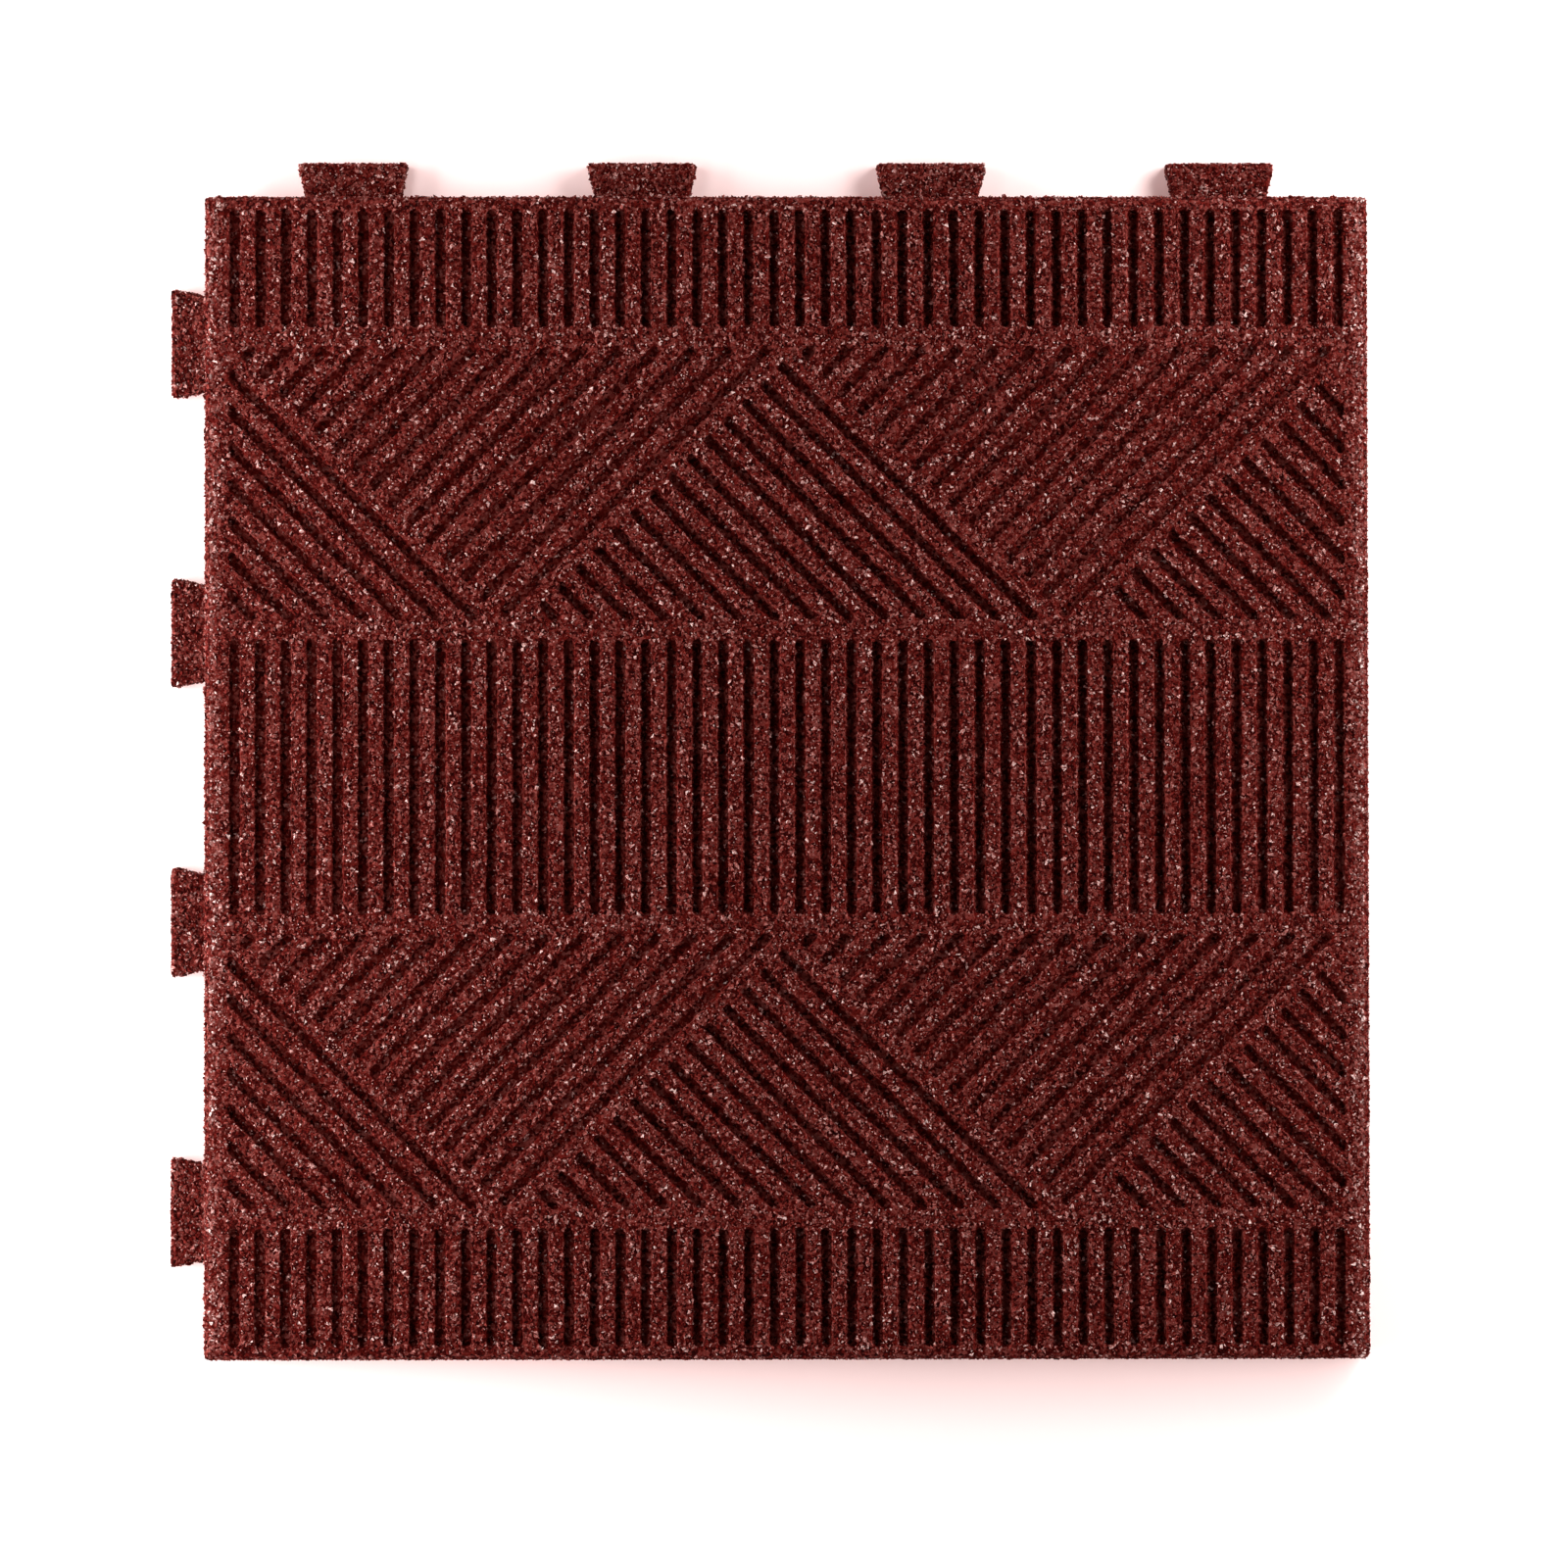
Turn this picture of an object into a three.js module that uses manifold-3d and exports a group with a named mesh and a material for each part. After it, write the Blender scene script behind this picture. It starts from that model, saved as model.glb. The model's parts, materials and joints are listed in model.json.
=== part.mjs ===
// Interlocking rubber paver: one square slab moulded from bonded rubber crumb.
// Millimetres. The origin is the middle of the slab's underside, +Z is up,
// +X is the right-hand side and +Y the far side as the paver is seen from above.
import * as THREE from 'three';
import { mergeVertices } from 'three/addons/utils/BufferGeometryUtils.js';
import Module from 'manifold-3d';

const wasm = await Module();
wasm.setup();

// The slab
const slabSide = 609.6;
const slabThickness = 19;
const slabCornerRadius = 2.6;
const slabTopChamfer = 2.2;

// Dovetail tabs, which stand out of the left and the far side at the underside's level
const tabCount = 4;
const tabPitch = 152.4;
const tabLength = 19;
const tabNeckWidth = 49;
const tabEndWidth = 57.6;
const tabThickness = 9.5;
const tabCornerRadius = 1.6;
const tabTopChamfer = 1.4;

// Sockets under the right and the near side, each a tab's shape with room around it
const socketSideGap = 0.8;
const socketEndGap = 1;
const socketHeadroom = 0.8;

// Every tread groove has the same section, and its walls lean in towards the floor
const grooveWidth = 5;
const grooveDepth = 4;
const grooveWallLean = 0.7;

// Rows of straight grooves across the middle and along the near and far sides
const straightCount = 44;
const straightPitch = 13.445;
const middleRowLength = 143.2;
const outerRowLength = 61;

// Plain rails between the bands, and the plain margin beside the slanted grooves
const railWidth = 10.9;
const sideMargin = 12.6;

// The two bands of slanted grooves between the straight rows
const bandWidth = 142.9;
const slantPitch = 13.62;
const zigzagPeakX = -10.9;
const zigzagPeakDrop = 1.8;
const zigzagLegRun = 146.4;
const legToGrooveEnds = 10.4;
const lastFieldSetback = 2.6;
const leftFieldCount = 7;
const leftValleyCount = 15;
const peakFieldCount = 14;
const rightValleyCount = 15;
const rightFieldCount = 12;

// How far a body that is joined or cut away reaches past the face it meets
const overlap = 5;

const rubber = new THREE.MeshStandardMaterial({ color: 0x6b3330, roughness: 0.9, metalness: 0 });

function toSolid(geometry) {
  const bare = geometry.clone();
  bare.deleteAttribute('normal');
  bare.deleteAttribute('uv');
  const merged = mergeVertices(bare, 1e-4);
  const mesh = new wasm.Mesh({
    numProp: 3,
    vertProperties: new Float32Array(merged.attributes.position.array),
    triVerts: new Uint32Array(merged.index.array),
  });
  return new wasm.Manifold(mesh);
}

function toGeometry(solid) {
  const mesh = solid.getMesh();
  const geometry = new THREE.BufferGeometry();
  geometry.setAttribute('position', new THREE.BufferAttribute(mesh.vertProperties, mesh.numProp));
  geometry.setIndex(new THREE.BufferAttribute(mesh.triVerts, 1));
  geometry.computeVertexNormals();
  return geometry;
}

// A closed outline through the corners, taken anticlockwise, each rounded by its own radius
function roundedShape(corners) {
  const shape = new THREE.Shape();
  corners.forEach(([x, y, radius], i) => {
    if (radius === 0) {
      if (i === 0) shape.moveTo(x, y);
      else shape.lineTo(x, y);
      return;
    }
    const corner = new THREE.Vector2(x, y);
    const [lastX, lastY] = corners.at(i - 1);
    const [nextX, nextY] = corners[(i + 1) % corners.length];
    const back = new THREE.Vector2(lastX, lastY).sub(corner).normalize();
    const ahead = new THREE.Vector2(nextX, nextY).sub(corner).normalize();
    const halfAngle = Math.acos(back.dot(ahead)) / 2;
    const setback = radius / Math.tan(halfAngle);
    const centre = back.clone().add(ahead).setLength(radius / Math.sin(halfAngle)).add(corner);
    const arrive = back.multiplyScalar(setback).add(corner).sub(centre);
    const leave = ahead.multiplyScalar(setback).add(corner).sub(centre);
    shape.absarc(centre.x, centre.y, radius, arrive.angle(), leave.angle(), false);
  });
  return shape;
}

// A plate that stands on Z = 0 with a chamfer round its top edge. It also reaches
// below Z = 0, where the underside is trimmed flat later.
function chamferedPlate(shape, thickness, chamfer) {
  return toSolid(new THREE.ExtrudeGeometry(shape, {
    depth: thickness - chamfer,
    curveSegments: 3,
    bevelEnabled: true,
    bevelThickness: chamfer,
    bevelSize: chamfer,
    bevelOffset: -chamfer,
    bevelSegments: 1,
  }));
}

// The dovetail's outline for a side that faces -X, with its neck on the Y axis.
// Grown by a side gap and an end gap it is the socket's outline.
function dovetailShape(sideGap, endGap, cornerRadius) {
  const flare = (tabEndWidth - tabNeckWidth) / 2 / tabLength;
  const reach = tabLength + endGap;
  const neckHalf = tabNeckWidth / 2 + sideGap;
  const endHalf = neckHalf + flare * reach;
  return roundedShape([
    [overlap, neckHalf, 0],
    [0, neckHalf, 0],
    [-reach, endHalf, cornerRadius],
    [-reach, -endHalf, cornerRadius],
    [0, -neckHalf, 0],
    [overlap, -neckHalf, 0],
  ]);
}

function centredSteps(count, pitch) {
  return Array.from({ length: count }, (unused, i) => (i - (count - 1) / 2) * pitch);
}

// Keeps the part of a convex outline where a * x + b * y is at most limit
function clipOutline(points, a, b, limit) {
  const kept = [];
  points.forEach(([x, y], i) => {
    const [nextX, nextY] = points[(i + 1) % points.length];
    const here = limit - (a * x + b * y);
    const next = limit - (a * nextX + b * nextY);
    if (here >= 0) kept.push([x, y]);
    if (here * next < 0) {
      const t = here / (here - next);
      kept.push([x + t * (nextX - x), y + t * (nextY - y)]);
    }
  });
  return kept;
}

// A block to cut from the tread down to the groove floors, with walls that lean in
function treadCutter(points) {
  const shape = new THREE.Shape(points.map(([x, y]) => new THREE.Vector2(x, y)));
  const geometry = new THREE.ExtrudeGeometry(shape, {
    depth: overlap,
    bevelEnabled: true,
    bevelThickness: grooveDepth,
    bevelSize: grooveWallLean,
    bevelOffset: -grooveWallLean,
    bevelSegments: 1,
  });
  geometry.translate(0, 0, slabThickness);
  return toSolid(geometry);
}

// Parallel grooves inside an outline. Offsets are measured in the direction across
// the grooves, and each groove is one pitch before the last.
function grooveField(outline, across, firstOffset, count, pitch) {
  const [a, b] = across;
  const bars = Array.from({ length: count }, (unused, i) => {
    const offset = firstOffset - i * pitch;
    const corner = (side, along) => [
      a * (offset + side) - b * along,
      b * (offset + side) + a * along,
    ];
    return treadCutter([
      corner(-grooveWidth / 2, -slabSide),
      corner(grooveWidth / 2, -slabSide),
      corner(grooveWidth / 2, slabSide),
      corner(-grooveWidth / 2, slabSide),
    ]);
  });
  return bars.reduce((joined, bar) => joined.add(bar)).intersect(treadCutter(outline));
}

function rectangle(width, height) {
  return [
    [-width / 2, -height / 2],
    [width / 2, -height / 2],
    [width / 2, height / 2],
    [-width / 2, height / 2],
  ];
}

// Slab and tabs
const half = slabSide / 2;
const slabShape = roundedShape([
  [half, half, slabCornerRadius],
  [-half, half, slabCornerRadius],
  [-half, -half, slabCornerRadius],
  [half, -half, slabCornerRadius],
]);
let paver = chamferedPlate(slabShape, slabThickness, slabTopChamfer);

const tab = chamferedPlate(dovetailShape(0, 0, tabCornerRadius), tabThickness, tabTopChamfer);
for (const along of centredSteps(tabCount, tabPitch)) {
  paver = paver.add(tab.translate([-half, along, 0]));
  paver = paver.add(tab.rotate([0, 0, -90]).translate([along, half, 0]));
}
const below = new THREE.BoxGeometry(2 * slabSide, 2 * slabSide, 2 * overlap);
below.translate(0, 0, -overlap);
paver = paver.subtract(toSolid(below));

// Sockets, open at the side face and at the underside
const socketGeometry = new THREE.ExtrudeGeometry(
  dovetailShape(socketSideGap, socketEndGap, tabCornerRadius),
  { depth: tabThickness + socketHeadroom + overlap, curveSegments: 3, bevelEnabled: false },
);
socketGeometry.translate(0, 0, -overlap);
const socket = toSolid(socketGeometry);
for (const along of centredSteps(tabCount, tabPitch)) {
  paver = paver.subtract(socket.translate([half, along, 0]));
  paver = paver.subtract(socket.rotate([0, 0, -90]).translate([along, -half, 0]));
}

// Straight grooves
const grooves = [];
function straightRow(middleY, length) {
  const rowWidth = (straightCount - 1) * straightPitch + grooveWidth;
  const firstOffset = (rowWidth - grooveWidth) / 2;
  const row = grooveField(
    rectangle(rowWidth + 2 * overlap, length),
    [1, 0],
    firstOffset,
    straightCount,
    straightPitch,
  );
  grooves.push(row.translate([0, middleY, 0]));
}
const bandMiddleY = middleRowLength / 2 + railWidth + bandWidth / 2;
const outerRowMiddleY = bandMiddleY + bandWidth / 2 + railWidth + outerRowLength / 2;
straightRow(0, middleRowLength);
straightRow(outerRowMiddleY, outerRowLength);
straightRow(-outerRowMiddleY, outerRowLength);

// Slanted grooves. A zigzag line with legs at 45 degrees splits the band into fields.
// Falling grooves fill the fields under a peak and rising grooves those over a valley.
// A field starts with the groove on its leg and goes on to the left of it, and its
// grooves end short of the leg that they run up to.
const falling = [Math.SQRT1_2, Math.SQRT1_2];
const rising = [Math.SQRT1_2, -Math.SQRT1_2];

function slantedBand(middleY) {
  const band = rectangle(slabSide - 2 * sideMargin, bandWidth);
  const beyond = ([a, b], leg) => clipOutline(band, -a, -b, -(leg + legToGrooveEnds));
  const peakY = bandWidth / 2 - zigzagPeakDrop;
  const legStep = zigzagLegRun * Math.SQRT2;
  const fallingLeg = (zigzagPeakX + peakY) * Math.SQRT1_2;
  const risingLeg = (zigzagPeakX - peakY) * Math.SQRT1_2;
  const leftLeg = fallingLeg - legStep;
  const rightLeg = risingLeg + legStep;
  const lastStart = fallingLeg + legStep - slantPitch - lastFieldSetback;
  const fields = [
    grooveField(band, falling, leftLeg, leftFieldCount, slantPitch),
    grooveField(beyond(falling, leftLeg), rising, risingLeg, leftValleyCount, slantPitch),
    grooveField(beyond(rising, risingLeg), falling, fallingLeg, peakFieldCount, slantPitch),
    grooveField(beyond(falling, fallingLeg), rising, rightLeg, rightValleyCount, slantPitch),
    grooveField(beyond(rising, rightLeg), falling, lastStart, rightFieldCount, slantPitch),
  ];
  for (const field of fields) grooves.push(field.translate([0, middleY, 0]));
}
slantedBand(bandMiddleY);
slantedBand(-bandMiddleY);

for (const cut of grooves) {
  paver = paver.subtract(cut);
}

const paverMesh = new THREE.Mesh(toGeometry(paver), rubber);
paverMesh.name = 'rubber_paver';

const group = new THREE.Group();
group.name = 'interlocking_rubber_paver';
group.add(paverMesh);

export default group;
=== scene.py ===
import json
import math
import random

import bmesh
import bpy
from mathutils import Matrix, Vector

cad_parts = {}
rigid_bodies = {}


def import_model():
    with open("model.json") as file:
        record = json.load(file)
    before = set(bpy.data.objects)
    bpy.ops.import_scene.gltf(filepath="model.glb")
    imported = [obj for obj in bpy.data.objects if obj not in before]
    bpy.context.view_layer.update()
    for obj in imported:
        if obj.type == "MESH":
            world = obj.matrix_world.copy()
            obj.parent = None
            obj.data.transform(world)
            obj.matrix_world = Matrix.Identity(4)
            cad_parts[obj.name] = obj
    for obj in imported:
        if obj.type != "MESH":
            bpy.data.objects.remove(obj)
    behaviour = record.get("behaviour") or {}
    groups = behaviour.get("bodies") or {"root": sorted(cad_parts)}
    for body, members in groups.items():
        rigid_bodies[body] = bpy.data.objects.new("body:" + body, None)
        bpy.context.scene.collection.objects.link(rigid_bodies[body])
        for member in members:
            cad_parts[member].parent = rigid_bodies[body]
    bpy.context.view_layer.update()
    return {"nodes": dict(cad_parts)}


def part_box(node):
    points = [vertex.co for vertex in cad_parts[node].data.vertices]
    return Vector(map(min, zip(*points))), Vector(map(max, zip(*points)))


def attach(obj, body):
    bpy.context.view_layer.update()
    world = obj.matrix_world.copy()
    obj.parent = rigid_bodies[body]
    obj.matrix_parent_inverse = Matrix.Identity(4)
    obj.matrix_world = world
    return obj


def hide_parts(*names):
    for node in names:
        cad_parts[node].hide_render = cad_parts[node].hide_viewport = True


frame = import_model()
cadPaver = frame["nodes"]["rubber_paver"]
paverLow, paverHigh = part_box("rubber_paver")
print("frame loaded, paver box", [round(v, 4) for v in (*paverLow, *paverHigh)])

# Node helpers shared by the mesh trees and the materials


def newNode(tree, kind, inputs=None, **settings):
    node = tree.nodes.new(kind)
    for name, value in settings.items():
        setattr(node, name, value)
    for name, value in (inputs or {}).items():
        plug(tree, node.inputs[name], value)
    return node


def plug(tree, socket, value):
    if isinstance(value, bpy.types.NodeSocket):
        tree.links.new(value, socket)
    else:
        socket.default_value = value


def mathNode(tree, operation, *values):
    node = tree.nodes.new("ShaderNodeMath")
    node.operation = operation
    for socket, value in zip(node.inputs, values):
        plug(tree, socket, value)
    return node.outputs[0]


def newMeshTree(name, inputs):
    # An empty Geometry Nodes tree with a named input for each number
    tree = bpy.data.node_groups.new(name, "GeometryNodeTree")
    tree.interface.new_socket("Geometry", in_out="INPUT", socket_type="NodeSocketGeometry")
    tree.interface.new_socket("Geometry", in_out="OUTPUT", socket_type="NodeSocketGeometry")
    for label, value in inputs.items():
        kind = "NodeSocketInt" if isinstance(value, int) else "NodeSocketFloat"
        tree.interface.new_socket(label, in_out="INPUT", socket_type=kind).default_value = value
    return tree, tree.nodes.new("NodeGroupInput"), tree.nodes.new("NodeGroupOutput")


def addTree(obj, tree, values):
    # Puts a tree on an object and sets its inputs by identifier before anything is evaluated
    modifier = obj.modifiers.new(tree.name, "NODES")
    modifier.node_group = tree
    for item in tree.interface.items_tree:
        if item.in_out == "INPUT" and item.name in values:
            modifier[item.identifier] = values[item.name]


def meshFrom(obj, name):
    # The object's evaluated shape as a plain mesh
    graph = bpy.context.evaluated_depsgraph_get()
    mesh = bpy.data.meshes.new_from_object(obj.evaluated_get(graph))
    mesh.name = name
    return mesh


def linked(name, mesh):
    obj = bpy.data.objects.new(name, mesh)
    bpy.context.scene.collection.objects.link(obj)
    return obj


def triangleCount(mesh):
    mesh.calc_loop_triangles()
    return len(mesh.loop_triangles)


# Camera and setting

viewSettings = {
    "camera": (-0.0118, -0.0235, 1.8),      # straight above, a little left of and below the middle
    "tilt": (0.637, -0.326, -0.052),        # degrees about x, y and z
    "lens": 78.2,
    "sensorWidth": 36,
    "clip": (0.01, 50),                     # what is nearer or further isn't seen
    "floorSize": 60.0,
    "floorHeight": -0.0004,                 # just clear of the paver's underside
    "floorColour": (0.99, 0.80, 0.78, 1),   # shows only in the shadow, as lit parts are white
    "nearPaintedGlow": (0.15, 0.0525, 0.048, 1),   # painted pink glow in the floor near the paver, which warms its shadow
    "farGlow": (0.95, 0.95, 0.95, 1),       # keeps the floor pale out of the lights' reach
    "glowFrom": 0.65,                       # metres from the middle where the far glow starts
    "glowFull": 1.5,                        # and where it is all there is
    "floorRoughness": 0.9,
    "floorSpecular": 0.1,
}


def placeCamera():
    data = bpy.data.cameras.new("paverCamera")
    data.lens = viewSettings["lens"]
    data.sensor_width = viewSettings["sensorWidth"]
    data.clip_start, data.clip_end = viewSettings["clip"]
    camera = bpy.data.objects.new("paverCamera", data)
    camera.location = viewSettings["camera"]
    camera.rotation_euler = [math.radians(a) for a in viewSettings["tilt"]]
    bpy.context.scene.collection.objects.link(camera)
    bpy.context.scene.camera = camera


def paleFloorMaterial():
    material = bpy.data.materials.new("paleFloor")
    material.use_nodes = True
    tree = material.node_tree
    shader = tree.nodes["Principled BSDF"]
    shader.inputs["Base Color"].default_value = viewSettings["floorColour"]
    shader.inputs["Roughness"].default_value = viewSettings["floorRoughness"]
    shader.inputs["Specular IOR Level"].default_value = viewSettings["floorSpecular"]
    shader.inputs["Emission Strength"].default_value = 1.0
    place = tree.nodes.new("ShaderNodeTexCoord").outputs["Object"]
    away = newNode(tree, "ShaderNodeVectorMath", {0: place}, operation="LENGTH")
    far = newNode(tree, "ShaderNodeMapRange", {
        "Value": away.outputs["Value"], "From Min": viewSettings["glowFrom"],
        "From Max": viewSettings["glowFull"]})
    # The floor's emission: a painted pink glow near the paver, fading out to an even pale glow
    # further away
    glow = newNode(tree, "ShaderNodeMix", {"Factor": far.outputs["Result"]}, data_type="RGBA")
    plug(tree, glow.inputs[6], viewSettings["nearPaintedGlow"])
    plug(tree, glow.inputs[7], viewSettings["farGlow"])
    plug(tree, shader.inputs["Emission Color"], glow.outputs[2])
    return material


def layFloor():
    half = viewSettings["floorSize"] / 2
    mesh = bpy.data.meshes.new("studioFloor")
    corners = [(x * half, y * half, viewSettings["floorHeight"])
               for x, y in ((-1, -1), (1, -1), (1, 1), (-1, 1))]
    mesh.from_pydata(corners, [], [(0, 1, 2, 3)])
    mesh.materials.append(paleFloorMaterial())
    floor = linked("studioFloor", mesh)


lightSettings = {
    "softboxes": {            # along both sides and mostly low, so that the grooves stay dark
        "leftClose": {"at": (-0.42, 0.0, 0.36), "size": (1.3, 0.15), "power": 1.8},
        "leftLow": {"at": (-0.90, 0.0, 0.22), "size": (1.4, 0.3), "power": 26.4},
        "leftNear": {"at": (-0.60, -0.5, 0.45), "size": (0.4, 0.3), "power": 1.0},
        "rightClose": {"at": (0.45, 0.0, 0.22), "size": (1.3, 0.15), "power": 1.2},
        "rightLow": {"at": (1.30, 0.0, 0.45), "size": (1.6, 0.4), "power": 18.0},
        "rightFar": {"at": (0.75, 0.6, 0.35), "size": (0.5, 0.3), "power": 9.0},
    },
    "skyOverhead": 0.12,      # dim above and pale low down, so that the background is pale
    "skyLow": 0.95,
    "skyPaleBelow": 0.05,     # as the upward part of the direction, from 0 level to 1 overhead
    "skyDimAbove": 0.25,
}


def softbox(name, at, size, power):
    data = bpy.data.lights.new(name, "AREA")
    data.shape = "RECTANGLE"
    data.size, data.size_y = size
    data.energy = power
    light = bpy.data.objects.new(name, data)
    light.location = at
    light.rotation_euler = (Vector((0, 0, 0)) - Vector(at)).to_track_quat("-Z", "Y").to_euler()
    bpy.context.scene.collection.objects.link(light)


def lightStudio():
    for name, settings in lightSettings["softboxes"].items():
        softbox(name + "Softbox", **settings)
    world = bpy.data.worlds.new("studioWorld")
    world.use_nodes = True
    tree = world.node_tree
    direction = tree.nodes.new("ShaderNodeTexCoord").outputs["Generated"]
    upward = newNode(tree, "ShaderNodeSeparateXYZ", {0: direction}).outputs["Z"]
    brightness = newNode(tree, "ShaderNodeMapRange", {
        "Value": upward, "From Min": lightSettings["skyPaleBelow"],
        "From Max": lightSettings["skyDimAbove"], "To Min": lightSettings["skyLow"],
        "To Max": lightSettings["skyOverhead"]})
    sky = tree.nodes["Background"]
    sky.inputs["Color"].default_value = (1, 1, 1, 1)
    plug(tree, sky.inputs["Strength"], brightness.outputs["Result"])
    bpy.context.scene.world = world
    bpy.context.scene.view_settings.view_transform = "Standard"


placeCamera()
layFloor()
lightStudio()
print("camera, floor and lights placed")

# Rubber finishes

rubberLook = {
    "shredPerMetre": 620.0,      # moulded shreds across one metre of the surface
    "bendPerMetre": 420.0,       # a noise that bends the moulded shreds' outlines
    "bendBy": 0.0016,
    "fineGrainPerMetre": 1500.0,
    # From dark to pale rubber; the palest, pinkish-white shades are pale grains and also painted
    # glints
    "shades": [(0.0, (0.014, 0.0002, 0.0001)), (0.18, (0.037, 0.0006, 0.0003)),
               (0.36, (0.081, 0.0032, 0.0018)), (0.60, (0.160, 0.0288, 0.0230)),
               (0.82, (0.256, 0.1020, 0.0905)), (0.95, (0.405, 0.2300, 0.2110)),
               (1.0, (0.610, 0.4250, 0.3950))],
    "roughness": (0.42, 0.78),
    "slabPaintedShade": 0.65,            # painted shade: the slab seen between and under the shreds and on the groove floors is darker by this factor
    "paintedHighlightFrom": 0.2940,         # painted highlight: the left and right margins, which face the lamps, are paler, more so outwards
    "paintedHighlightFull": 0.3022,         # past here lie the rounded edge and the tabs
    "paintedHighlightTone": 0.2,
    "slabSpeck": 0.6,            # how far the fine grain changes the tone of the slab
    "shredSpeck": 1.1,           # and of a raised shred
    "slabSeam": -0.9,            # the seams between moulded shreds, as a share of the bump
    "slabGrain": 0.5,            # and the fine grain over them
    "slabBump": 0.0009,          # how deep the bump seems, in metres
    "shredBump": 0.0004,
    "bumpStrength": 0.8,
    "specular": 0.03,
}


def shadeRamp(tree, factor, shades):
    ramp = newNode(tree, "ShaderNodeValToRGB", {"Fac": factor})
    elements = ramp.color_ramp.elements
    elements[0].position, elements[0].color = shades[0][0], (*shades[0][1], 1)
    elements[1].position, elements[1].color = shades[-1][0], (*shades[-1][1], 1)
    for place, colour in shades[1:-1]:
        elements.new(place).color = (*colour, 1)
    return ramp.outputs["Color"]


def rubberShader(tree, place, tone, relief, bumpDistance):
    # Dark pigmented rubber from a tone between 0 and 1 and a height for the bump
    look = rubberLook
    spot = newNode(tree, "ShaderNodeSeparateXYZ", {0: place})
    across = mathNode(tree, "ABSOLUTE", spot.outputs["X"])
    # Painted highlight: the left and right margins are made paler towards the edge, the tabs left
    # out
    paintedHighlight = newNode(tree, "ShaderNodeMapRange", {
        "Value": across, "From Min": look["paintedHighlightFrom"], "From Max": look["paintedHighlightFull"],
        "To Max": look["paintedHighlightTone"]})
    within = mathNode(tree, "LESS_THAN", across, look["paintedHighlightFull"])
    shown = mathNode(tree, "MULTIPLY_ADD", paintedHighlight.outputs["Result"], within, tone)
    colour = shadeRamp(tree, shown, look["shades"])
    rough = newNode(tree, "ShaderNodeMapRange", {
        "Value": tone, "To Min": look["roughness"][1], "To Max": look["roughness"][0]})
    bump = newNode(tree, "ShaderNodeBump", {"Height": relief, "Strength": look["bumpStrength"]})
    bump.inputs["Distance"].default_value = bumpDistance
    shader = newNode(tree, "ShaderNodeBsdfPrincipled", {
        "Base Color": colour, "Roughness": rough.outputs["Result"],
        "Normal": bump.outputs["Normal"]})
    shader.inputs["Specular IOR Level"].default_value = look["specular"]
    out = tree.nodes.new("ShaderNodeOutputMaterial")
    tree.links.new(shader.outputs["BSDF"], out.inputs["Surface"])


def newRubber(name):
    # A bare material, its node tree and the place on the piece that its patterns go by
    material = bpy.data.materials.new(name)
    material.use_nodes = True
    tree = material.node_tree
    tree.nodes.clear()
    return material, tree, tree.nodes.new("ShaderNodeTexCoord").outputs["Object"]


def mouldedRubberMaterial():
    # The slab between the raised shreds: packed shreds pressed flat against the mould
    look = rubberLook
    material, tree, place = newRubber("mouldedCrumbRubber")
    bend = newNode(tree, "ShaderNodeTexNoise", {
        "Vector": place, "Scale": look["bendPerMetre"], "Detail": 2.0})
    bent = newNode(tree, "ShaderNodeVectorMath", {
        0: bend.outputs["Color"], 1: (look["bendBy"],) * 3}, operation="MULTIPLY")
    moved = newNode(tree, "ShaderNodeVectorMath", {0: place, 1: bent.outputs[0]}, operation="ADD")
    shreds = newNode(tree, "ShaderNodeTexVoronoi", {
        "Vector": moved.outputs[0], "Scale": look["shredPerMetre"]})
    fine = newNode(tree, "ShaderNodeTexNoise", {
        "Vector": place, "Scale": look["fineGrainPerMetre"], "Detail": 3.0, "Roughness": 0.65})
    split = newNode(tree, "ShaderNodeSeparateColor", {"Color": shreds.outputs["Color"]})
    speck = mathNode(tree, "MULTIPLY_ADD", fine.outputs["Fac"], look["slabSpeck"],
                     -look["slabSpeck"] / 2)
    mixed = mathNode(tree, "ADD", split.outputs["Red"], speck)
    # Painted shade: the slab's tone is lowered so that the gaps between the shreds look shaded
    tone = mathNode(tree, "MULTIPLY", mixed, look["slabPaintedShade"])
    seam = mathNode(tree, "MULTIPLY", shreds.outputs["Distance"], look["slabSeam"])
    relief = mathNode(tree, "MULTIPLY_ADD", fine.outputs["Fac"], look["slabGrain"], seam)
    rubberShader(tree, place, tone, relief, look["slabBump"])
    return material


def shredMaterial():
    # One raised shred: its own tone, kept on the mesh, with a fine torn grain over it
    look = rubberLook
    material, tree, place = newRubber("raisedRubberShreds")
    own = newNode(tree, "ShaderNodeAttribute", attribute_name="shredTone")
    fine = newNode(tree, "ShaderNodeTexNoise", {
        "Vector": place, "Scale": look["fineGrainPerMetre"], "Detail": 2.0})
    speck = mathNode(tree, "MULTIPLY_ADD", fine.outputs["Fac"], look["shredSpeck"],
                     -look["shredSpeck"] / 2)
    tone = mathNode(tree, "ADD", own.outputs["Fac"], speck)
    rubberShader(tree, place, tone, fine.outputs["Fac"], look["shredBump"])
    return material


# The slab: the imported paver's shape, remeshed finely enough for worn edges and pressed-in pits

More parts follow.
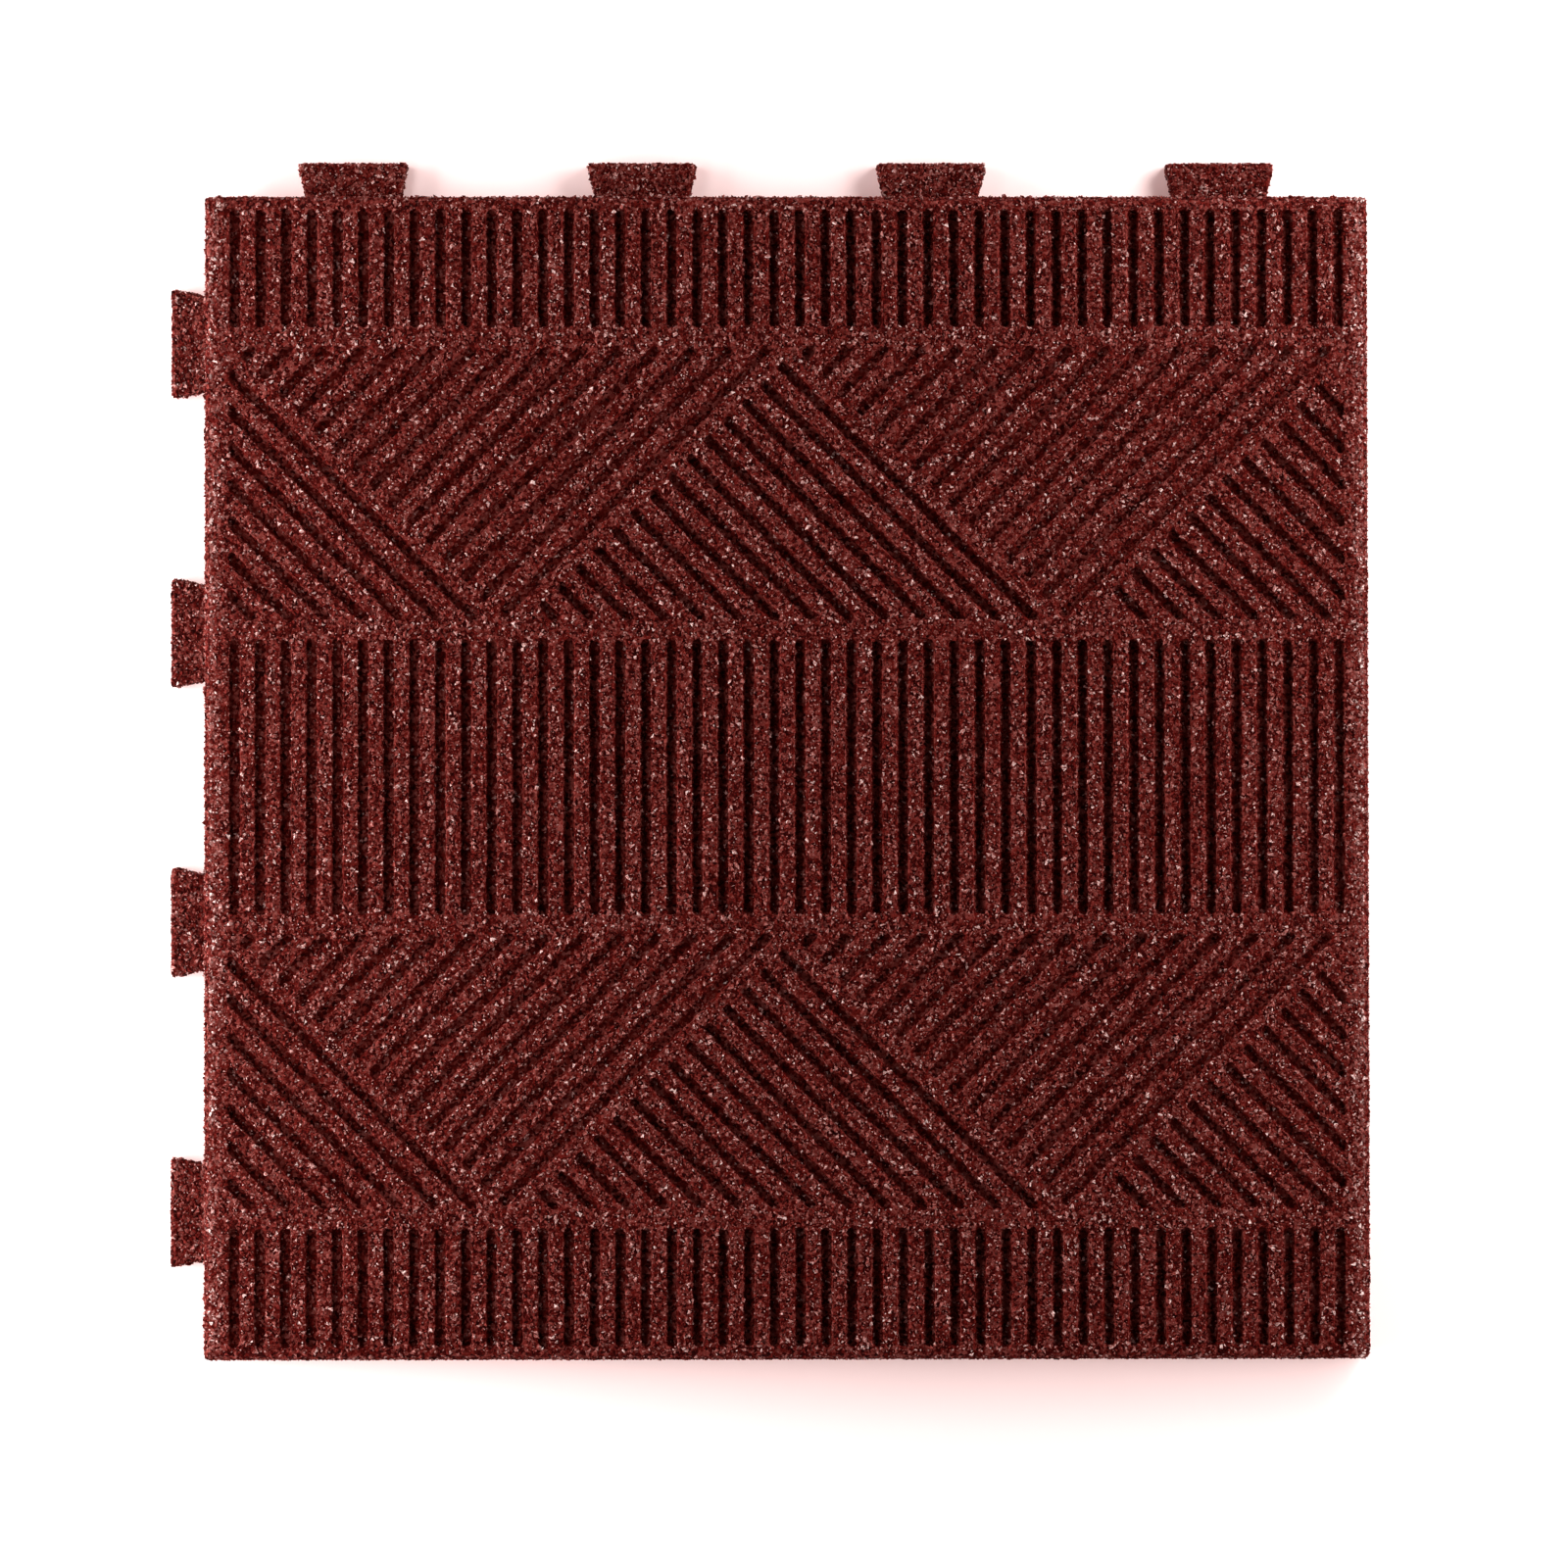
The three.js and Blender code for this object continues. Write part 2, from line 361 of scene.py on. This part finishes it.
slabSettings = {
    "cell": 0.0011,           # size of the remeshed faces before thinning
    "sink": 0.0008,           # the slab lies this far under the CAD faces, for the shreds to fill
    "pitDepth": 0.0008,
    "grooveShare": 0.7,       # how much of both is left on the grooves' walls
    "sideShare": 0.05,        # and on the slab's sides
    "innerHalf": 0.3025,      # from the paver's middle to the start of its edge
    "wornWidth": 0.0085,      # the edge is worn down over this width
    "wornDepth": 0.0024,      # along the near and far sides
    "sideWornDepth": 0.0007,  # along the left and right sides
    "wornFrom": 0.0155,       # only above this height
    "wornPower": 2.0,         # and more steeply towards the edge
    "pitsPerMetre": 420.0,
    "flatBelow": 0.0006,      # the underside up to this height stays flat
    "mergeWithin": 1e-6,      # CAD corners this close together become one
    "triangles": 188000,
}


def wornSlope(tree, across, put, depth):
    # How far the tread has sunk, from nothing at the worn strip's start to all of it at the edge
    edge = mathNode(tree, "SUBTRACT", put["Half Side"], mathNode(tree, "ABSOLUTE", across))
    near = newNode(tree, "ShaderNodeMapRange", {
        "Value": edge, "From Min": put["Worn Width"], "From Max": 0.0})
    steeper = mathNode(tree, "POWER", near.outputs["Result"], slabSettings["wornPower"])
    return mathNode(tree, "MULTIPLY", steeper, depth)


def reliefTree(inputs):
    # Sinks the slab's faces, presses pits into them and wears the tread's edge down
    tree, start, end = newMeshTree("pressedRelief", inputs)
    put = start.outputs
    place = tree.nodes.new("GeometryNodeInputPosition").outputs[0]
    normal = tree.nodes.new("GeometryNodeInputNormal").outputs[0]
    cells = newNode(tree, "ShaderNodeTexVoronoi", {
        "Vector": place, "Scale": put["Pits Per Metre"]})
    spot = newNode(tree, "ShaderNodeSeparateXYZ", {0: place})
    height = spot.outputs["Z"]
    standing = mathNode(tree, "GREATER_THAN", height, put["Flat Below"])
    pit = mathNode(tree, "MULTIPLY_ADD", cells.outputs["Distance"], put["Pit Depth"], put["Sink"])
    reach = mathNode(tree, "MAXIMUM", mathNode(tree, "ABSOLUTE", spot.outputs["X"]),
                     mathNode(tree, "ABSOLUTE", spot.outputs["Y"]))
    facing = newNode(tree, "ShaderNodeSeparateXYZ", {0: normal}).outputs["Z"]
    inner = mathNode(tree, "LESS_THAN", reach, put["Inner Half"])
    wall = newNode(tree, "ShaderNodeMapRange", {
        "Value": inner, "To Min": put["Side Share"], "To Max": put["Groove Share"]})
    share = newNode(tree, "ShaderNodeMapRange", {
        "Value": mathNode(tree, "ABSOLUTE", facing), "To Min": wall.outputs["Result"]})
    full = mathNode(tree, "MULTIPLY", pit, share.outputs["Result"])
    depth = mathNode(tree, "MULTIPLY", full, mathNode(tree, "MULTIPLY", standing, -1.0))
    pressed = newNode(tree, "ShaderNodeVectorMath", {0: normal, "Scale": depth}, operation="SCALE")

    # The tread slopes down a little towards the slab's worn edges
    sideways = wornSlope(tree, spot.outputs["X"], put, put["Side Worn Depth"])
    lengthways = wornSlope(tree, spot.outputs["Y"], put, put["Worn Depth"])
    onTop = mathNode(tree, "GREATER_THAN", height, put["Worn From"])
    worn = mathNode(tree, "MULTIPLY", mathNode(tree, "MAXIMUM", sideways, lengthways), onTop)
    drop = mathNode(tree, "MULTIPLY", worn, -1.0)
    down = newNode(tree, "ShaderNodeCombineXYZ", {"Z": drop})
    offset = newNode(tree, "ShaderNodeVectorMath", {0: pressed.outputs[0], 1: down.outputs[0]},
                     operation="ADD")
    sunk = newNode(tree, "GeometryNodeSetPosition", {
        "Geometry": put["Geometry"], "Offset": offset.outputs[0]})
    tree.links.new(sunk.outputs[0], end.inputs[0])
    return tree


def makeSlab(material):
    settings = slabSettings
    whole = bmesh.new()
    whole.from_mesh(cadPaver.data)
    bmesh.ops.remove_doubles(whole, verts=whole.verts, dist=settings["mergeWithin"])
    mesh = bpy.data.meshes.new("slabBlank")
    whole.to_mesh(mesh)
    whole.free()
    blank = linked("slabBlank", mesh)
    remesh = blank.modifiers.new("cells", "REMESH")
    remesh.mode = "VOXEL"
    remesh.voxel_size = settings["cell"]
    inputs = {
        "Sink": settings["sink"], "Pit Depth": settings["pitDepth"],
        "Pits Per Metre": settings["pitsPerMetre"], "Groove Share": settings["grooveShare"],
        "Side Share": settings["sideShare"], "Inner Half": settings["innerHalf"],
        "Half Side": paverHigh.x, "Worn Width": settings["wornWidth"],
        "Worn Depth": settings["wornDepth"], "Side Worn Depth": settings["sideWornDepth"],
        "Worn From": settings["wornFrom"], "Flat Below": settings["flatBelow"]}
    addTree(blank, reliefTree(inputs), inputs)
    fine = meshFrom(blank, "slabFine")
    print("slab remeshed,", triangleCount(fine), "triangles")
    blank.modifiers.clear()
    blank.data = fine
    thin = blank.modifiers.new("thin", "DECIMATE")
    thin.ratio = settings["triangles"] / triangleCount(fine)
    slabMesh = meshFrom(blank, "paverSlab")
    bpy.data.objects.remove(blank)
    slabMesh.materials.clear()
    slabMesh.materials.append(material)
    slab = linked("paverSlab", slabMesh)
    print("slab thinned,", triangleCount(slabMesh), "triangles")
    return slab


# Raised shreds of rubber, fused to the slab's tread, grooves, sides and tabs

shredSettings = {
    "pieces": 4,              # the shreds are shared out over this many pieces
    "spacing": 0.00120,       # least distance between two shreds' middles
    "density": 2000000.0,     # tries for each square metre
    "length": 0.0021,
    "thickness": 0.00115,
    "corners": (4, 5, 4, 6, 5, 4, 5, 4),   # how many corners each shred shape has
    "cornerTurn": 2.4,        # radians from one corner to the next
    "cornerSlack": 0.4,       # and how far that may be off
    "endHalf": 0.8,           # the end corners lie this far out, of half the length
    "lengthShares": (0.9, 1.2),
    "thicknessShares": (0.5, 0.8),
    "sizes": (0.7, 2.0),
    "smallPower": 3.0,        # the higher this is, the more of them are small
    "rise": (-0.00035, 0.00035),   # how far a shred's middle lies over the slab's face
    "wallFacing": 0.5,        # a face is a wall if its normal's upward part is less than this
    "wallSink": 0.0004,       # those on the grooves' walls are pressed in by this much more
    "tilt": 0.8,              # most that a shred leans, in radians
    "grooveShare": 0.3,       # how many of them are left in the grooves
    "grooveLip": 0.0172,      # a place lower than this inside the edge is in a groove
    "socketRoof": 0.012,      # and one lower than this is in a socket, which stays bare
    "paintedFacetShare": 0.3,        # how much of a face's tone is its own: random tone that is also painted shading and glints on the facets
    "proud": 0.0005,          # the most that a shred stands out of the paver's sides
    "seeds": {"spread": 11, "keep": 3, "rise": 4, "turn": 5, "size": 7, "tone": 9, "facet": 12},
}


def shredShape(index, corners):
    # An angular shred: the hull of a few scattered points, longer than it is thick
    settings = shredSettings
    slack = settings["cornerSlack"]
    end = settings["endHalf"]
    scatter = random.Random(index)
    shred = bmesh.new()
    for corner in range(corners):
        turn = corner * settings["cornerTurn"] + scatter.uniform(-slack, slack)
        along = -end + 2 * end * corner / (corners - 1)
        around = math.sqrt(1 - along * along)
        x = along * settings["length"] / 2 * scatter.uniform(*settings["lengthShares"])
        y = around * math.cos(turn) * settings["thickness"]
        y *= scatter.uniform(*settings["thicknessShares"])
        z = around * math.sin(turn) * settings["thickness"]
        z *= scatter.uniform(*settings["thicknessShares"])
        shred.verts.new((x, y, z))
    bmesh.ops.convex_hull(shred, input=shred.verts)
    bmesh.ops.delete(shred, geom=[v for v in shred.verts if not v.link_faces], context="VERTS")
    bmesh.ops.recalc_face_normals(shred, faces=shred.faces)
    mesh = bpy.data.meshes.new(f"shredShape{index}")
    shred.to_mesh(mesh)
    shred.free()
    return bpy.data.objects.new(f"shredShape{index}", mesh)


def shredInputs(piece):
    settings = shredSettings
    return {
        "Piece": piece, "Pieces": settings["pieces"], "Spacing": settings["spacing"],
        "Density": settings["density"], "Smallest": settings["sizes"][0],
        "Largest": settings["sizes"][1], "Lowest": settings["rise"][0],
        "Highest": settings["rise"][1], "Wall Sink": settings["wallSink"],
        "Tilt": settings["tilt"], "Groove Share": settings["grooveShare"],
        "Inner Half": slabSettings["innerHalf"], "Groove Lip": settings["grooveLip"],
        "Socket Roof": settings["socketRoof"], "Top": paverHigh.z,
        "Right": paverHigh.x + settings["proud"], "Near": paverLow.y - settings["proud"],
        "Left": paverLow.x - settings["proud"], "Far": paverHigh.y + settings["proud"],
        "Painted Facet Share": settings["paintedFacetShare"], "Seed": settings["seeds"]["spread"]}


def shredTree(shapes, material):
    seeds = shredSettings["seeds"]
    wallFacing = shredSettings["wallFacing"]
    tree, start, end = newMeshTree("raisedShreds", shredInputs(0))
    put = start.outputs
    spread = newNode(tree, "GeometryNodeDistributePointsOnFaces", {
        "Mesh": put["Geometry"], "Distance Min": put["Spacing"], "Density Max": put["Density"],
        "Seed": put["Seed"]}, distribute_method="POISSON")
    points = spread.outputs["Points"]
    normal = spread.outputs["Normal"]
    facing = newNode(tree, "ShaderNodeSeparateXYZ", {0: normal}).outputs["Z"]
    place = tree.nodes.new("GeometryNodeInputPosition").outputs[0]
    spot = newNode(tree, "ShaderNodeSeparateXYZ", {0: place})
    height = spot.outputs["Z"]
    chance = newNode(tree, "FunctionNodeRandomValue", {
        "ID": tree.nodes.new("GeometryNodeInputID").outputs[0], "Seed": seeds["keep"]},
        data_type="FLOAT")

    # Leave out the underside, thin them out inside the grooves, and keep this piece's share
    under = mathNode(tree, "LESS_THAN", facing, -wallFacing)
    reach = mathNode(tree, "MAXIMUM", mathNode(tree, "ABSOLUTE", spot.outputs["X"]),
                     mathNode(tree, "ABSOLUTE", spot.outputs["Y"]))
    inner = mathNode(tree, "LESS_THAN", reach, put["Inner Half"])
    surplus = mathNode(tree, "GREATER_THAN", chance.outputs[1], put["Groove Share"])
    inGroove = mathNode(tree, "LESS_THAN", height, put["Groove Lip"])
    inSocket = mathNode(tree, "LESS_THAN", height, put["Socket Roof"])
    bare = mathNode(tree, "MAXIMUM", inSocket, mathNode(tree, "MULTIPLY", inGroove, surplus))
    sparse = mathNode(tree, "MULTIPLY", inner, bare)
    number = tree.nodes.new("GeometryNodeInputIndex").outputs[0]
    share = mathNode(tree, "MODULO", number, put["Pieces"])
    other = newNode(tree, "FunctionNodeCompare", {"A": share, "B": put["Piece"], "Epsilon": 0.1},
                    operation="NOT_EQUAL", data_type="FLOAT")
    unwanted = mathNode(tree, "MAXIMUM", under, mathNode(tree, "MAXIMUM", sparse, other.outputs[0]))
    kept = newNode(tree, "GeometryNodeDeleteGeometry", {
        "Geometry": points, "Selection": unwanted}, domain="POINT")

    # Those on the grooves' walls are pressed in further, which keeps the grooves open
    lift = newNode(tree, "FunctionNodeRandomValue", {"Seed": seeds["rise"]}, data_type="FLOAT")
    plug(tree, lift.inputs[2], put["Lowest"])
    plug(tree, lift.inputs[3], put["Highest"])
    upright = mathNode(tree, "LESS_THAN", mathNode(tree, "ABSOLUTE", facing), wallFacing)
    press = mathNode(tree, "MULTIPLY", mathNode(tree, "MULTIPLY", upright, inner), put["Wall Sink"])
    rise = mathNode(tree, "SUBTRACT", lift.outputs[1], press)
    sunk = newNode(tree, "ShaderNodeVectorMath", {0: normal, "Scale": rise}, operation="SCALE")
    down = newNode(tree, "GeometryNodeSetPosition", {
        "Geometry": kept.outputs[0], "Offset": sunk.outputs[0]})

    # Each is one of the shapes, lying on the face and turned and leant at random
    shapesIn = newNode(tree, "GeometryNodeCollectionInfo", {
        "Collection": shapes, "Separate Children": True, "Reset Children": True})
    lying = newNode(tree, "FunctionNodeAlignRotationToVector", {"Vector": normal}, axis="Z")
    lean = newNode(tree, "ShaderNodeCombineXYZ", {"X": put["Tilt"], "Y": put["Tilt"], "Z": math.pi})
    back = newNode(tree, "ShaderNodeVectorMath", {0: lean.outputs[0], "Scale": -1.0},
                   operation="SCALE")
    spin = newNode(tree, "FunctionNodeRandomValue", {
        0: back.outputs[0], 1: lean.outputs[0], "Seed": seeds["turn"]}, data_type="FLOAT_VECTOR")
    turned = newNode(tree, "FunctionNodeRotateRotation", {
        "Rotation": lying.outputs[0], "Rotate By": spin.outputs[0]}, rotation_space="LOCAL")
    draw = newNode(tree, "FunctionNodeRandomValue", {"Seed": seeds["size"]}, data_type="FLOAT")
    large = mathNode(tree, "POWER", draw.outputs[1], shredSettings["smallPower"])
    size = newNode(tree, "ShaderNodeMapRange", {
        "Value": large, "To Min": put["Smallest"], "To Max": put["Largest"]})
    shreds = newNode(tree, "GeometryNodeInstanceOnPoints", {
        "Points": down.outputs[0], "Instance": shapesIn.outputs[0], "Pick Instance": True,
        "Rotation": turned.outputs[0], "Scale": size.outputs["Result"]})
    tone = newNode(tree, "FunctionNodeRandomValue", {"Seed": seeds["tone"]}, data_type="FLOAT")
    toned = newNode(tree, "GeometryNodeStoreNamedAttribute", {
        "Geometry": shreds.outputs[0], "Name": "shredTone", "Value": tone.outputs[1]},
        data_type="FLOAT", domain="INSTANCE")
    real = newNode(tree, "GeometryNodeRealizeInstances", {"Geometry": toned.outputs[0]})

    # Each face of a shred is a little paler or darker than the next, a random tone that is also
    # painted shading and glints on the facets
    whole = newNode(tree, "GeometryNodeInputNamedAttribute", {"Name": "shredTone"},
                    data_type="FLOAT")
    facet = newNode(tree, "FunctionNodeRandomValue", {"Seed": seeds["facet"]}, data_type="FLOAT")
    paintedFacetTone = newNode(tree, "ShaderNodeMix", {"Factor": put["Painted Facet Share"]}, data_type="FLOAT")
    plug(tree, paintedFacetTone.inputs[2], whole.outputs[0])
    plug(tree, paintedFacetTone.inputs[3], facet.outputs[1])
    faceted = newNode(tree, "GeometryNodeStoreNamedAttribute", {
        "Geometry": real.outputs[0], "Name": "shredTone", "Value": paintedFacetTone.outputs[0]},
        data_type="FLOAT", domain="FACE")

    # The mould pressed the shreds flat: none stands above the tread or far out of the sides
    xyz = newNode(tree, "ShaderNodeSeparateXYZ", {0: place})
    x = mathNode(tree, "MINIMUM", mathNode(tree, "MAXIMUM", xyz.outputs["X"], put["Left"]),
                 put["Right"])
    y = mathNode(tree, "MINIMUM", mathNode(tree, "MAXIMUM", xyz.outputs["Y"], put["Near"]),
                 put["Far"])
    z = mathNode(tree, "MINIMUM", mathNode(tree, "MAXIMUM", xyz.outputs["Z"], 0.0), put["Top"])
    pressed = newNode(tree, "ShaderNodeCombineXYZ", {"X": x, "Y": y, "Z": z})
    clipped = newNode(tree, "GeometryNodeSetPosition", {
        "Geometry": faceted.outputs[0], "Position": pressed.outputs[0]})
    finish = newNode(tree, "GeometryNodeSetMaterial", {
        "Geometry": clipped.outputs[0], "Material": material})
    tree.links.new(finish.outputs[0], end.inputs[0])
    return tree


def makeShreds(slab, material):
    settings = shredSettings
    shapes = bpy.data.collections.new("shredShapes")
    for index, corners in enumerate(settings["corners"]):
        shapes.objects.link(shredShape(index, corners))
    tree = shredTree(shapes, material)
    made = []
    for piece in range(settings["pieces"]):
        base = linked("shredBase", slab.data.copy())
        addTree(base, tree, shredInputs(piece))
        mesh = meshFrom(base, f"rubberShreds{piece + 1}")
        bpy.data.objects.remove(base)
        made.append(linked(f"rubberShreds{piece + 1}", mesh))
        print("shreds", piece + 1, "of", settings["pieces"], "-", triangleCount(mesh), "triangles")
    for shape in list(shapes.objects):
        bpy.data.objects.remove(shape)
    bpy.data.collections.remove(shapes)
    return made


slab = makeSlab(mouldedRubberMaterial())
shreds = makeShreds(slab, shredMaterial())

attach(slab, "root")
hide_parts("rubber_paver")
for piece in shreds:
    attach(piece, "root")
